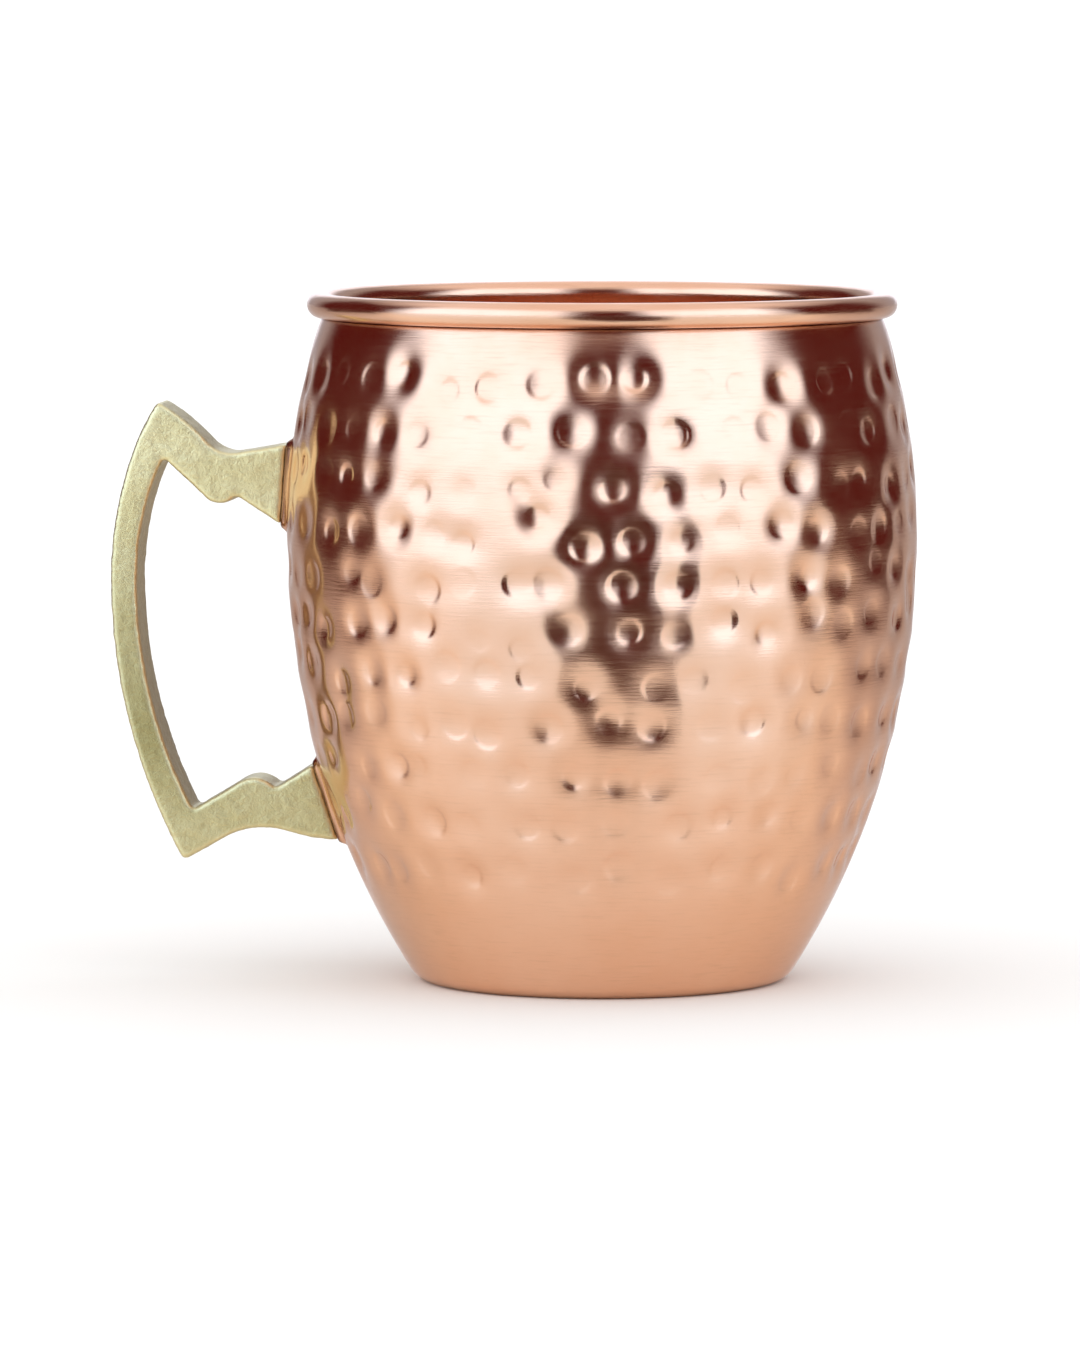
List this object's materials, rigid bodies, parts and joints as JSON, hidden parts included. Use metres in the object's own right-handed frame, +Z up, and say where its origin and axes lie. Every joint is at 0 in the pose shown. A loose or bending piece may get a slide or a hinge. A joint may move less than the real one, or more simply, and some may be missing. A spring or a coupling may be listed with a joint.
{
  "type": "mug",
  "caption": "Barrel-shaped hammered copper drinking mug with a rolled, wired rim and a notched cast brass handle screwed to flats pressed in the wall.",
  "frame": {"origin": "centre of the flat base, on the mug's axis", "axes": "+Z up along the mug's axis, -X towards the handle, Y across the handle"},
  "size_m": [0.1166, 0.091, 0.0994],
  "materials": {
    "copper_sheet": "hammered copper with fine brushing round the barrel and a polished rim",
    "rim_wire": "drawn copper wire, hidden in the rim",
    "cast_brass": "pale sand-cast brass, satin, with brighter worn edges",
    "screw": "turned brass",
    "washer": "matte, soft, copper coloured"
  },
  "bodies": {
    "root": {"mug_body": "copper_sheet", "rim_wire": "rim_wire", "handle": "cast_brass", "upper_washer": "washer", "upper_screw": "screw", "lower_washer": "washer", "lower_screw": "screw"}
  },
  "joints": []
}
